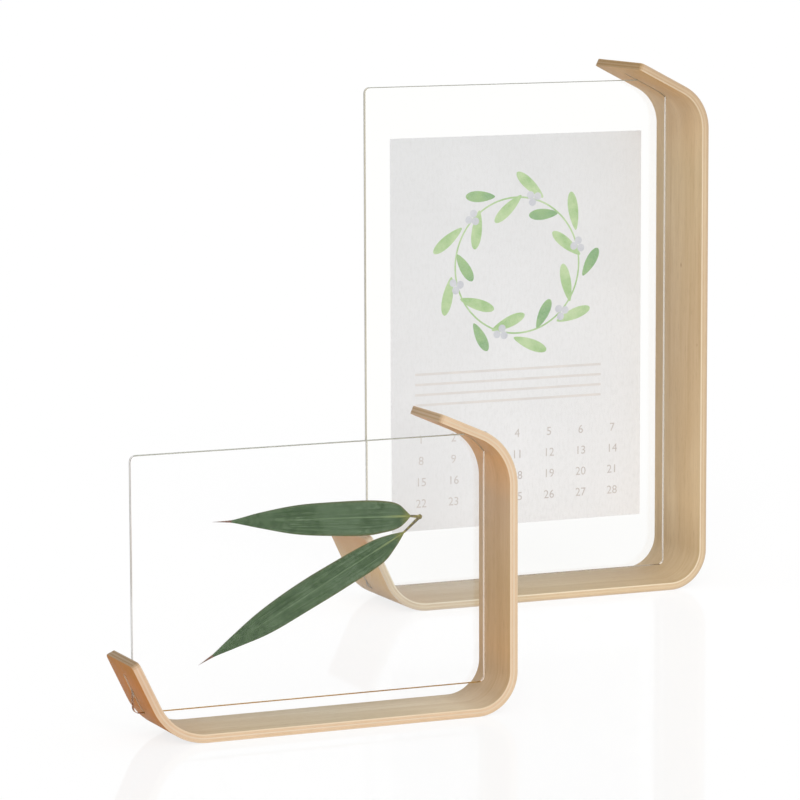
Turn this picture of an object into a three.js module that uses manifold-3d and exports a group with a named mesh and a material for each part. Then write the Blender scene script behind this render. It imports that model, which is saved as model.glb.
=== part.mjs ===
// A pair of acrylic photo frames, one landscape and small, one portrait and tall.
// Each is a strip of moulded plywood bent three times into an open C, with a clear panel of
// two loose sheets standing in slots through its two slanted arms.
// Millimetres, +Z up. X runs along the panels, and Y runs from the front of the pair to its back.

import * as THREE from 'three';
import * as BufferGeometryUtils from 'three/addons/utils/BufferGeometryUtils.js';
import Module from 'manifold-3d';

const wasm = await Module();
wasm.setup();

// Plywood: five veneers with a glue line between neighbours
const veneer = 0.76;
const glueLine = 0.05;

// Acrylic sheets and the pocket between them
const sheet = 1.0;
const pocket = 0.4;
const panelCornerRadius = 3.0;

// Slots through the slanted arms
const slotSideClearance = 0.3;
const slotEndClearance = 0.3;
const headArmLand = 8.0;

// Small frame: strip
const smallDepth = 35.5;
const smallFootBendAngle = 64.2;
const smallFootRadius = 29.0;
const smallFootArm = 41.8;
const smallCornerRadius = 20.2;
const smallHeadBendAngle = 66.5;
const smallHeadRadius = 28.8;
const smallHeadArm = 41.5;

// Small frame: panel, and how far it reaches past the two virtual corners of the strip
const smallPanelWidth = 175.0;
const smallPanelHeight = 118.0;
const smallPanelInset = 7.85;
const smallPanelLift = 11.9;
const smallPanelSetback = 20.6;
const smallFootReach = 10.65;
const smallHeadReach = 3.75;

// Tall frame: strip
const tallDepth = 54.5;
const tallFootBendAngle = 64.7;
const tallFootRadius = 26.0;
const tallFootArm = 44.8;
const tallCornerRadius = 21.3;
const tallHeadBendAngle = 63.0;
const tallHeadRadius = 25.6;
const tallHeadArm = 44.8;

// Tall frame: panel
const tallPanelWidth = 177.2;
const tallPanelHeight = 266.4;
const tallPanelInset = 10.15;
const tallPanelLift = 8.4;
const tallPanelSetback = 31.6;
const tallFootReach = 5.25;
const tallHeadReach = 9.6;

// Where the tall frame stands, from the small frame's outer front corner to its own
const pairShiftX = 232.9;
const pairShiftY = 254.4;

// Contents of the panels
const contentSlack = 0.05;
const printWidth = 148.0;
const printHeight = 210.0;
const printRaise = 29.0;
const leafStalkGap = 0.3;
const knotRadius = 1.25;
const knotInset = 32.9;
const knotRaise = 80.6;
const stalkWidth = 1.1;

// Leaves: stations along each blade from its stalk to its tip, with the half widths above and
// below the midrib there
const upperLeaf = {
  stalkLength: 2.0,
  stalkAngle: 172,
  bladeAngle: 177.7,
  baseHalfWidth: 0.35,
  stations: [
    { along: 5.0, above: 3.4, below: 2.6 },
    { along: 12.0, above: 7.1, below: 6.6 },
    { along: 22.0, above: 7.9, below: 8.5 },
    { along: 40.0, above: 7.6, below: 8.2 },
    { along: 58.0, above: 6.6, below: 6.9 },
    { along: 76.0, above: 3.7, below: 3.5 },
    { along: 89.0, above: 0.7, below: 0.8 },
  ],
  length: 99.4,
};

const lowerLeaf = {
  stalkLength: 8.9,
  stalkAngle: 220,
  bladeAngle: 207.9,
  baseHalfWidth: 0.35,
  stations: [
    { along: 6.0, above: 2.6, below: 3.6 },
    { along: 15.0, above: 4.9, below: 7.0 },
    { along: 35.0, above: 6.4, below: 7.4 },
    { along: 57.0, above: 7.0, below: 6.9 },
    { along: 79.0, above: 5.8, below: 5.9 },
    { along: 96.0, above: 3.0, below: 2.9 },
    { along: 108.0, above: 0.8, below: 0.9 },
  ],
  length: 115.6,
};

// Fineness of the round stretches and of the leaf outlines
const arcSteps = 7;
const leafSteps = 3;

// How far a slot's cutter runs past the faces of the strip
const cutterOuterRun = 4.0;
const cutterInnerRun = 8.0;

// Values that follow from the ones above
const veneerNames = ['outer_ply', 'outer_cross_ply', 'core_ply', 'inner_cross_ply', 'inner_ply'];
const veneerPitch = veneer + glueLine;
const strip = veneerPitch * veneerNames.length - glueLine;
const panelThickness = 2 * sheet + pocket;
const slotWidth = panelThickness + 2 * slotSideClearance;
const contentThickness = pocket - 2 * contentSlack;

const radians = THREE.MathUtils.degToRad;

// Materials
const faceVeneerColour = '#dcbb93';
const crossVeneerColour = '#b98a5c';
const acrylicColour = '#f2f6f5';
const leafColour = '#47704a';
const twigColour = '#8d8146';
const paperColour = '#e9e7e6';

function material(color, roughness, options = {}) {
  return new THREE.MeshStandardMaterial({ color, roughness, metalness: 0, ...options });
}

function mesh(name, geometry, meshMaterial) {
  const made = new THREE.Mesh(geometry, meshMaterial);
  made.name = name;
  return made;
}

// A unit vector in the XZ plane, from its angle above +X
function direction(angle) {
  return new THREE.Vector2(Math.cos(angle), Math.sin(angle));
}

// An outline drawn in X and Z, as a slab from yFront backwards
function slab(outline, yFront, thickness) {
  const geometry = new THREE.ExtrudeGeometry(outline, {
    depth: thickness,
    bevelEnabled: false,
    curveSegments: arcSteps,
  });
  geometry.rotateX(Math.PI / 2);
  geometry.translate(0, yFront + thickness, 0);
  return geometry;
}

function solidOf(geometry) {
  const bare = geometry.clone();
  bare.deleteAttribute('normal');
  bare.deleteAttribute('uv');
  const merged = BufferGeometryUtils.mergeVertices(bare);
  return new wasm.Manifold(new wasm.Mesh({
    numProp: 3,
    vertProperties: new Float32Array(merged.attributes.position.array),
    triVerts: new Uint32Array(merged.index.array),
  }));
}

function geometryOf(solid) {
  const result = solid.getMesh();
  const geometry = new THREE.BufferGeometry();
  geometry.setAttribute('position', new THREE.BufferAttribute(new Float32Array(result.vertProperties), 3));
  geometry.setIndex(new THREE.BufferAttribute(new Uint32Array(result.triVerts), 1));
  geometry.computeVertexNormals();
  return geometry;
}

// The strip seen from the front: four straight stretches joined by three bends, from the end of
// the foot arm along the bottom and up to the end of the head arm. The outer face of the upright
// lies on x = 0 and the underside on z = 0.
function layOut(size) {
  const panelRight = -size.panelInset;
  const panelLeft = panelRight - size.panelWidth;
  const panelTop = size.panelLift + size.panelHeight;
  const footCorner = new THREE.Vector2(panelLeft + size.footReach, 0);
  const headCorner = new THREE.Vector2(0, panelTop - size.headReach);
  const headings = [-radians(size.footBendAngle), 0, Math.PI / 2, Math.PI / 2 + radians(size.headBendAngle)];
  const corners = [footCorner, new THREE.Vector2(0, 0), headCorner];
  const radii = [size.footRadius, size.cornerRadius, size.headRadius];
  const bends = corners.map((corner, index) => {
    const turn = headings[index + 1] - headings[index];
    const tangent = radii[index] * Math.tan(turn / 2);
    const inward = direction(headings[index] + Math.PI / 2).multiplyScalar(radii[index]);
    const centre = corner.clone().sub(direction(headings[index]).multiplyScalar(tangent)).add(inward);
    return {
      centre,
      radius: radii[index],
      start: headings[index] - Math.PI / 2,
      end: headings[index + 1] - Math.PI / 2,
    };
  });
  const footEnd = footCorner.clone().sub(direction(headings[0]).multiplyScalar(size.footArm));
  const headEnd = headCorner.clone().add(direction(headings[3]).multiplyScalar(size.headArm));
  return { panelLeft, panelRight, panelTop, footCorner, headCorner, headings, bends, footEnd, headEnd };
}

// One layer of the strip, between two depths measured inward from its outer face
function layerOutline(lines, outerDepth, innerDepth) {
  const footInward = direction(lines.headings[0] + Math.PI / 2);
  const headInward = direction(lines.headings[3] + Math.PI / 2);
  const footAt = (depth) => lines.footEnd.clone().add(footInward.clone().multiplyScalar(depth));
  const headAt = (depth) => lines.headEnd.clone().add(headInward.clone().multiplyScalar(depth));
  const outline = new THREE.Shape();
  const innerFootEnd = footAt(innerDepth);
  const outerFootEnd = footAt(outerDepth);
  outline.moveTo(innerFootEnd.x, innerFootEnd.y);
  outline.lineTo(outerFootEnd.x, outerFootEnd.y);
  for (const bend of lines.bends) {
    outline.absarc(bend.centre.x, bend.centre.y, bend.radius - outerDepth, bend.start, bend.end, false);
  }
  for (const corner of [headAt(outerDepth), headAt(innerDepth)]) {
    outline.lineTo(corner.x, corner.y);
  }
  for (const bend of [...lines.bends].reverse()) {
    outline.absarc(bend.centre.x, bend.centre.y, bend.radius - innerDepth, bend.end, bend.start, true);
  }
  outline.closePath();
  return outline;
}

function polygon(points) {
  return new THREE.Shape(points);
}

// The slot of the foot arm: the panel's lower edge stands on its level lower end, and the panel's
// left edge leaves the inner face just short of its square upper end.
function footSlot(size, lines) {
  const along = direction(lines.headings[0]).negate();
  const inward = direction(lines.headings[0] + Math.PI / 2);
  const seat = size.panelLift - slotEndClearance;
  const leftLimit = lines.panelLeft - slotEndClearance;
  const top = (lines.footCorner.x + inward.x * strip - leftLimit) / -along.x;
  const atTop = (depth) => new THREE.Vector2(
    lines.footCorner.x + inward.x * depth + along.x * top,
    inward.y * depth + along.y * top,
  );
  const atSeat = (depth) => {
    const reach = (seat - inward.y * depth) / along.y;
    return new THREE.Vector2(lines.footCorner.x + inward.x * depth + along.x * reach, seat);
  };
  const outer = -cutterOuterRun;
  const inner = strip + cutterInnerRun;
  return polygon([atTop(inner), atTop(outer), atSeat(outer), atSeat(inner)]);
}

// The slot of the head arm: its upright end in the bend stops the panel's right edge, and it runs
// on past the panel's top edge to the land left at the end of the arm.
function headSlot(size, lines) {
  const along = direction(lines.headings[3]);
  const inward = direction(lines.headings[3] + Math.PI / 2);
  const rightLimit = lines.panelRight + slotEndClearance;
  const end = size.headArm - headArmLand;
  const atEnd = (depth) => new THREE.Vector2(
    inward.x * depth + along.x * end,
    lines.headCorner.y + inward.y * depth + along.y * end,
  );
  const atStop = (depth) => {
    const reach = (rightLimit - inward.x * depth) / along.x;
    return new THREE.Vector2(rightLimit, lines.headCorner.y + inward.y * depth + along.y * reach);
  };
  const outer = -cutterOuterRun;
  const inner = strip + cutterInnerRun;
  return polygon([atStop(outer), atEnd(outer), atEnd(inner), atStop(inner)]);
}

function roundedRectangle(left, bottom, width, height, radius) {
  const right = left + width;
  const top = bottom + height;
  const outline = new THREE.Shape();
  outline.moveTo(left + radius, bottom);
  outline.absarc(right - radius, bottom + radius, radius, -Math.PI / 2, 0, false);
  outline.absarc(right - radius, top - radius, radius, 0, Math.PI / 2, false);
  outline.absarc(left + radius, top - radius, radius, Math.PI / 2, Math.PI, false);
  outline.absarc(left + radius, bottom + radius, radius, Math.PI, Math.PI * 1.5, false);
  outline.closePath();
  return outline;
}

// The five veneers of one strip, each with both slots cut through it
function plywood(prefix, size, lines) {
  const faceMaterial = material(faceVeneerColour, 0.55);
  const crossMaterial = material(crossVeneerColour, 0.75);
  const slotFront = size.panelSetback - slotWidth / 2;
  const cutters = [footSlot(size, lines), headSlot(size, lines)]
    .map((outline) => solidOf(slab(outline, slotFront, slotWidth)));
  return veneerNames.map((name, index) => {
    const outerDepth = index * veneerPitch;
    const outline = layerOutline(lines, outerDepth, outerDepth + veneer);
    let solid = solidOf(slab(outline, 0, size.depth));
    for (const cutter of cutters) {
      solid = solid.subtract(cutter);
    }
    const veneerMaterial = index % 2 === 0 ? faceMaterial : crossMaterial;
    return mesh(`${prefix}_${name}`, geometryOf(solid), veneerMaterial);
  });
}

// The front and back sheets of one panel
function sheets(prefix, size, lines) {
  const acrylic = material(acrylicColour, 0.05, { transparent: true, opacity: 0.3 });
  const outline = roundedRectangle(
    lines.panelLeft, size.panelLift, size.panelWidth, size.panelHeight, panelCornerRadius,
  );
  const frontFace = size.panelSetback - panelThickness / 2;
  const backFace = frontFace + sheet + pocket;
  return [
    mesh(`${prefix}_front_sheet`, slab(outline, frontFace, sheet), acrylic),
    mesh(`${prefix}_back_sheet`, slab(outline, backFace, sheet), acrylic),
  ];
}

// A smooth leaf outline that starts at the end of its stalk and points along the blade's angle
function leafOutline(leaf, knot) {
  const stalk = direction(radians(leaf.stalkAngle)).multiplyScalar(
    knotRadius + leaf.stalkLength + leafStalkGap,
  );
  const base = knot.clone().add(stalk);
  const ahead = direction(radians(leaf.bladeAngle));
  const upward = new THREE.Vector2(ahead.y, -ahead.x);
  const place = (along, off) => base.clone()
    .add(ahead.clone().multiplyScalar(along))
    .add(upward.clone().multiplyScalar(off));
  const tip = place(leaf.length, 0);
  const aboveBase = place(0, leaf.baseHalfWidth);
  const belowBase = place(0, -leaf.baseHalfWidth);
  const above = leaf.stations.map((station) => place(station.along, station.above));
  const below = leaf.stations.map((station) => place(station.along, -station.below));
  const steps = leafSteps * (leaf.stations.length + 1);
  const aboveEdge = new THREE.SplineCurve([aboveBase, ...above, tip]).getPoints(steps);
  const belowEdge = new THREE.SplineCurve([tip, ...below.reverse(), belowBase]).getPoints(steps);
  return polygon([...aboveEdge, ...belowEdge.slice(1)]);
}

// The twig: a round knot with one straight stalk to each leaf
function twigSolid(knot, front) {
  const disc = new THREE.Shape();
  disc.absarc(knot.x, knot.y, knotRadius, 0, Math.PI * 2, false);
  let solid = solidOf(slab(disc, front, contentThickness));
  for (const leaf of [upperLeaf, lowerLeaf]) {
    const ahead = direction(radians(leaf.stalkAngle));
    const side = new THREE.Vector2(-ahead.y, ahead.x).multiplyScalar(stalkWidth / 2);
    const end = knot.clone().add(ahead.clone().multiplyScalar(knotRadius + leaf.stalkLength));
    const stalk = polygon([
      knot.clone().sub(side),
      end.clone().sub(side),
      end.clone().add(side),
      knot.clone().add(side),
    ]);
    solid = solid.add(solidOf(slab(stalk, front, contentThickness)));
  }
  return solid;
}

function leaves(size, lines) {
  const knot = new THREE.Vector2(lines.panelRight - knotInset, size.panelLift + knotRaise);
  const front = size.panelSetback - contentThickness / 2;
  const green = material(leafColour, 0.6);
  const brown = material(twigColour, 0.7);
  return [
    mesh('upper_leaf', slab(leafOutline(upperLeaf, knot), front, contentThickness), green),
    mesh('lower_leaf', slab(leafOutline(lowerLeaf, knot), front, contentThickness), green),
    mesh('leaf_twig', geometryOf(twigSolid(knot, front)), brown),
  ];
}

function printedSheet(size, lines) {
  const left = lines.panelLeft + (size.panelWidth - printWidth) / 2;
  const bottom = size.panelLift + printRaise;
  const outline = polygon([
    new THREE.Vector2(left, bottom),
    new THREE.Vector2(left + printWidth, bottom),
    new THREE.Vector2(left + printWidth, bottom + printHeight),
    new THREE.Vector2(left, bottom + printHeight),
  ]);
  const front = size.panelSetback - contentThickness / 2;
  return mesh('tall_print', slab(outline, front, contentThickness), material(paperColour, 0.8));
}

const smallSize = {
  depth: smallDepth,
  footBendAngle: smallFootBendAngle,
  footRadius: smallFootRadius,
  footArm: smallFootArm,
  cornerRadius: smallCornerRadius,
  headBendAngle: smallHeadBendAngle,
  headRadius: smallHeadRadius,
  headArm: smallHeadArm,
  panelWidth: smallPanelWidth,
  panelHeight: smallPanelHeight,
  panelInset: smallPanelInset,
  panelLift: smallPanelLift,
  panelSetback: smallPanelSetback,
  footReach: smallFootReach,
  headReach: smallHeadReach,
};

const tallSize = {
  depth: tallDepth,
  footBendAngle: tallFootBendAngle,
  footRadius: tallFootRadius,
  footArm: tallFootArm,
  cornerRadius: tallCornerRadius,
  headBendAngle: tallHeadBendAngle,
  headRadius: tallHeadRadius,
  headArm: tallHeadArm,
  panelWidth: tallPanelWidth,
  panelHeight: tallPanelHeight,
  panelInset: tallPanelInset,
  panelLift: tallPanelLift,
  panelSetback: tallPanelSetback,
  footReach: tallFootReach,
  headReach: tallHeadReach,
};

const smallLines = layOut(smallSize);
const smallFrame = new THREE.Group();
smallFrame.add(
  ...plywood('small', smallSize, smallLines),
  ...sheets('small', smallSize, smallLines),
  ...leaves(smallSize, smallLines),
);

const tallLines = layOut(tallSize);
const tallFrame = new THREE.Group();
tallFrame.add(
  ...plywood('tall', tallSize, tallLines),
  ...sheets('tall', tallSize, tallLines),
  printedSheet(tallSize, tallLines),
);
tallFrame.position.set(pairShiftX, pairShiftY, 0);

// The pair stands on z = 0 with its footprint centred on the origin
const pair = new THREE.Group();
pair.add(smallFrame, tallFrame);
pair.updateMatrixWorld(true);
const span = new THREE.Box3().setFromObject(pair);
pair.position.set(-(span.min.x + span.max.x) / 2, -(span.min.y + span.max.y) / 2, 0);

const photoFrames = new THREE.Group();
photoFrames.name = 'photo_frames';
photoFrames.add(pair);

export default photoFrames;
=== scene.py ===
# A small landscape and a tall portrait photo frame of bent plywood with clear acrylic panels.
# Metres, in the frame of the CAD model: +X along the panels, +Y to the back, +Z up.

import math
from collections import namedtuple

import bmesh
import bpy
from mathutils import Matrix, Vector


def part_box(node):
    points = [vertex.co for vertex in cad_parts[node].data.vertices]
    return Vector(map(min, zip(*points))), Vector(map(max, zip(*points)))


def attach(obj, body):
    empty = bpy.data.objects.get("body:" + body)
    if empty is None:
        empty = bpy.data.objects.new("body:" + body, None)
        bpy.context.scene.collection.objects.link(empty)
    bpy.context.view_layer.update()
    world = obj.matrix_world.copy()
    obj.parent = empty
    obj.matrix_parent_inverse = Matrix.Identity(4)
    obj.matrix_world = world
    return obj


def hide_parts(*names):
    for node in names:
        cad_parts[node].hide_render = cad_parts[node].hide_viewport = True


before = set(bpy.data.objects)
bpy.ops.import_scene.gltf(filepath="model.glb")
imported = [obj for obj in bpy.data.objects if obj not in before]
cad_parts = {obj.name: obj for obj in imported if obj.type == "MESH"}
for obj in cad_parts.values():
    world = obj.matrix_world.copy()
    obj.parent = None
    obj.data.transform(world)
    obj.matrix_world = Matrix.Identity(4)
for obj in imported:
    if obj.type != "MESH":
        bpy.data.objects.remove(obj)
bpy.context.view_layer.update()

MM = 0.001

# Each strip: its bends in degrees, the radii of its outer face there, the lengths of its arms, how
# far its panel stands out past the foot and head corners, the rounding of its arm ends, and its pin
# knots on the upright: height above the table, distance from the front edge and radius
SMALL = dict(
    name="small", frame_body="frame_small", panel_body="panel_small",
    foot_bend=64.2, foot_radius=29.0 * MM, foot_arm=41.8 * MM, foot_reach=10.65 * MM,
    corner_radius=20.2 * MM,
    head_bend=66.5, head_radius=28.8 * MM, head_arm=41.5 * MM, head_reach=3.75 * MM,
    end_corner=2.8 * MM,
    pin_knots=[],
)
TALL = dict(
    name="tall", frame_body="frame_tall", panel_body="panel_tall",
    foot_bend=64.7, foot_radius=26.0 * MM, foot_arm=44.8 * MM, foot_reach=5.25 * MM,
    corner_radius=21.3 * MM,
    head_bend=63.0, head_radius=25.6 * MM, head_arm=44.8 * MM, head_reach=9.6 * MM,
    end_corner=2.6 * MM,
    pin_knots=[(174.1 * MM, 23.7 * MM, 0.75 * MM), (132.4 * MM, 4.5 * MM, 0.45 * MM)],
)
PLY_NAMES = ["outer_ply", "outer_cross_ply", "core_ply", "inner_cross_ply", "inner_ply"]
# A strip's pieces, from the end of its foot arm to the end of its head arm
FOOT_ARM, FOOT_BEND, BOTTOM, CORNER_BEND, UPRIGHT, HEAD_BEND, HEAD_ARM = range(7)
StripPiece = namedtuple("StripPiece", "start length anchor heading radius")

SLOT_SIDE_CLEARANCE = 0.3 * MM
SLOT_END_CLEARANCE = 0.3 * MM
HEAD_ARM_LAND = 8.0 * MM
PANEL_CORNER_RADIUS = 3.0 * MM

VENEER = 0.76 * MM
EASED_EDGE = 0.28 * MM
NEAR = 1.0 * MM
SAME_DEPTH = 0.01 * MM
HALVINGS = 50
# In degrees: the step between the rows of a bend, and the angle from which an edge is sharp
BEND_STEP = 3.0
SHARP_ANGLE = 35.0
# A face stands on edge where its normal's share along the thickness is below this
ON_EDGE = 0.5

# Camera of the photograph: where it stands and how it is turned
PHOTO_SIDE = 800
CAMERA_PLACE = Vector((-0.82342, -1.85629, 0.40155))
CAMERA_YAW = 23.58
CAMERA_PITCH = 7.697
CAMERA_ROLL = -0.197
CAMERA_FOCAL_PIXELS = 4117.7
SENSOR_WIDTH = 36.0
CAMERA_REACH = 100.0


# Helpers for objects and meshes

def new_object(name, data):
    """A new object in the scene."""
    made = bpy.data.objects.new(name, data)
    bpy.context.scene.collection.objects.link(made)
    return made


def mesh_object(name, bm, material):
    """A new object from a finished bmesh, at the origin, smooth but for its sharp edges."""
    for face in bm.faces:
        face.smooth = True
    mesh = bpy.data.meshes.new(name)
    bm.to_mesh(mesh)
    bm.free()
    mesh.set_sharp_from_angle(angle=math.radians(SHARP_ANGLE))
    mesh.materials.append(material)
    return new_object(name, mesh)


def direction(angle):
    """A unit vector in the XZ plane, from its angle above +X in degrees."""
    return Vector((math.cos(math.radians(angle)), math.sin(math.radians(angle))))


def outward(bm):
    """Turns every face outwards."""
    bmesh.ops.recalc_face_normals(bm, faces=bm.faces[:])


def circle(bm, segments, radius, cap_ends=True):
    """The vertices of a new circle round the origin."""
    made = bmesh.ops.create_circle(bm, cap_ends=cap_ends, segments=segments, radius=radius)
    return made["verts"]


def extruded(bm, faces):
    """Extrudes faces, keeps the old ones too, and gives the new vertices."""
    made = bmesh.ops.extrude_face_region(bm, geom=faces, use_keep_orig=True)
    return [item for item in made["geom"] if isinstance(item, bmesh.types.BMVert)]


def bevel(bm, geom, offset, segments, affect="EDGES"):
    """Rounds edges, or the corners of a flat face."""
    bmesh.ops.bevel(
        bm, geom=geom, offset=offset, offset_type="OFFSET", segments=segments,
        profile=0.5, affect=affect, material=-1,
    )


# Helpers for materials

# Sockets of a Mix node that mixes colours
MIX_INPUTS = (0, 6, 7)
MIX_RESULT = 2
# Where nearly all of a noise's values lie
NOISE_LOW, NOISE_MIDDLE, NOISE_HIGH = 0.3, 0.5, 0.7


class Shader:
    """The node tree of a material or a shader group, with short calls to add nodes."""

    def __init__(self, tree):
        self.tree = tree

    def node(self, kind, **settings):
        made = self.tree.nodes.new(kind)
        for key, value in settings.items():
            setattr(made, key, value)
        return made

    def feed(self, socket, value):
        """Links another node's output to a socket, or sets the socket's own value."""
        if isinstance(value, bpy.types.NodeSocket):
            self.tree.links.new(value, socket)
        else:
            socket.default_value = value

    def fill(self, node, **inputs):
        """Feeds a node's inputs by name, with an underscore for each space."""
        for key, value in inputs.items():
            self.feed(node.inputs[key.replace("_", " ")], value)
        return node

    def math(self, operation, first, second=0.0):
        made = self.node("ShaderNodeMath", operation=operation)
        for socket, value in zip(made.inputs, (first, second)):
            self.feed(socket, value)
        return made.outputs[0]

    def mix(self, factor, first, second, blend="MIX"):
        made = self.node("ShaderNodeMix", data_type="RGBA", blend_type=blend)
        for index, value in zip(MIX_INPUTS, (factor, first, second)):
            self.feed(made.inputs[index], value)
        return made.outputs[MIX_RESULT]

    def times(self, first, second):
        """Two colours multiplied."""
        return self.mix(1.0, first, second, blend="MULTIPLY")

    def level(self, value, low, high, low_out=0.0, high_out=1.0):
        """A value that goes from low_out to high_out as another goes from low to high."""
        made = self.node("ShaderNodeMapRange")
        self.fill(made, Value=value, From_Min=low, From_Max=high, To_Min=low_out, To_Max=high_out)
        return made.outputs["Result"]

    def between(self, noise, least, most):
        """A value that wanders between two others with a noise."""
        return self.level(noise, NOISE_LOW, NOISE_HIGH, least, most)

    def stain(self, colour, other, mask, low, high, strength):
        """A colour with another laid over it as a mask goes from low to high."""
        return self.mix(self.level(mask, low, high, 0.0, strength), colour, other)

    def scaled(self, vector, scale):
        made = self.node("ShaderNodeMapping")
        return self.fill(made, Vector=vector, Scale=scale).outputs[0]

    def noise(self, place, grain, detail=2.0, roughness=0.5, distortion=0.0):
        """Noise, as fine as its grain says: one number, or one for each axis."""
        if isinstance(grain, float):
            grain = (grain, grain, grain)
        made = self.node("ShaderNodeTexNoise")
        self.fill(
            made, Vector=self.scaled(place, grain), Scale=1.0, Detail=detail,
            Roughness=roughness, Distortion=distortion,
        )
        return made.outputs["Fac"]

    def ramp(self, factor, *stops):
        """A colour from two or more stops, each a place and a colour."""
        made = self.fill(self.node("ShaderNodeValToRGB"), Fac=factor)
        elements = made.color_ramp.elements
        while len(elements) < len(stops):
            elements.new(0.5)
        for element, (place, colour) in zip(elements, stops):
            element.position = place
            element.color = colour
        return made.outputs["Color"]

    def group(self, tree, **inputs):
        return self.fill(self.node("ShaderNodeGroup", node_tree=tree), **inputs).outputs

    def bump(self, height, strength, distance):
        made = self.node("ShaderNodeBump")
        self.fill(made, Height=height, Strength=strength, Distance=distance)
        return made.outputs["Normal"]

    def attribute(self, name):
        """A vector that the mesh carries."""
        return self.node("ShaderNodeAttribute", attribute_name=name).outputs["Vector"]

    def object_place(self):
        return self.node("ShaderNodeTexCoord").outputs["Object"]

    def parts(self, vector):
        """The three parts of a vector."""
        made = self.node("ShaderNodeSeparateXYZ")
        self.feed(made.inputs[0], vector)
        return made.outputs

    def mixed_shaders(self, share, first, second):
        made = self.node("ShaderNodeMixShader")
        for socket, value in zip(made.inputs, (share, first.outputs[0], second.outputs[0])):
            self.feed(socket, value)
        return made


def srgb(red, green, blue):
    """A linear colour from 8-bit display values."""
    def linear(value):
        share = value / 255.0
        return share / 12.92 if share <= 0.04045 else ((share + 0.055) / 1.055) ** 2.4
    return (linear(red), linear(green), linear(blue), 1.0)


def new_group(name, inputs, outputs):
    """An empty shader group, its Shader helper, and its input and output nodes."""
    tree = bpy.data.node_groups.new(name, "ShaderNodeTree")
    for in_out, sockets in (("INPUT", inputs), ("OUTPUT", outputs)):
        for label, kind in sockets.items():
            tree.interface.new_socket(
                name=label, in_out=in_out, socket_type=f"NodeSocket{kind}",
            )
    shader = Shader(tree)
    return tree, shader, shader.node("NodeGroupInput"), shader.node("NodeGroupOutput")


def cleared(owner):
    """The node tree of a new material or world, with its nodes cleared."""
    owner.use_nodes = True
    owner.node_tree.nodes.clear()
    return owner.node_tree


class Material(Shader):
    """The node tree of a material that ends in a Principled shader."""

    def __init__(self, name):
        self.material = bpy.data.materials.new(name)
        super().__init__(cleared(self.material))
        self.principled = self.node("ShaderNodeBsdfPrincipled")
        self.output = self.node("ShaderNodeOutputMaterial")
        self.fill(self.output, Surface=self.principled.outputs[0])

    def finished(self, **inputs):
        """The material, once the inputs of its Principled shader are fed."""
        self.fill(self.principled, **inputs)
        return self.material


# Wood

KNOT_STRETCH = (0.45, 1.0, 0.0)


def wood_figure_group():
    """Long streaks, cloudy patches, short pores and flakes, along a coordinate's X."""
    tree, shader, group_in, group_out = new_group(
        "wood_figure", {"Along Grain": "Vector"},
        {"Streaks": "Float", "Clouds": "Float", "Pores": "Float", "Flakes": "Float"},
    )
    place = group_in.outputs["Along Grain"]
    streaks = shader.noise(
        place, grain=(9.0, 260.0, 260.0), detail=5.0, roughness=0.62, distortion=0.4,
    )
    pores = shader.noise(place, grain=(170.0, 2600.0, 2600.0), detail=1.0, roughness=0.4)
    shader.fill(
        group_out,
        Streaks=streaks,
        Clouds=shader.noise(place, grain=(11.0, 42.0, 42.0)),
        Pores=shader.level(pores, low=0.60, high=0.72),
        Flakes=shader.noise(place, grain=(520.0, 900.0, 900.0), roughness=0.6),
    )
    return tree


def pin_knot_group():
    """A small knot at a place on the blank, as a mask that fades outwards."""
    tree, shader, group_in, group_out = new_group(
        "pin_knot", {"Along Grain": "Vector", "Centre": "Vector", "Radius": "Float"},
        {"Knot": "Float"},
    )
    offset = shader.node("ShaderNodeVectorMath", operation="SUBTRACT")
    shader.feed(offset.inputs[0], group_in.outputs["Along Grain"])
    shader.feed(offset.inputs[1], group_in.outputs["Centre"])
    length = shader.node("ShaderNodeVectorMath", operation="LENGTH")
    shader.feed(length.inputs[0], shader.scaled(offset.outputs[0], KNOT_STRETCH))
    share = shader.math("DIVIDE", length.outputs["Value"], group_in.outputs["Radius"])
    shader.fill(group_out, Knot=shader.level(share, low=1.0, high=0.25))
    return tree


WOOD_FIGURE = wood_figure_group()
PIN_KNOT = pin_knot_group()

PORE = srgb(150, 112, 74)
PORE_STRENGTH = 0.22
PORE_DEPTH = 0.5
KNOT = srgb(150, 84, 52)
KNOT_STRENGTH = 0.7
FIGURE_SHADE = (0.85, 0.79, 0.70, 1.0)
FACE_GLOSS = {"inner": 0.25, "outer": 0.1}
COAT_SHARE = 0.16

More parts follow.
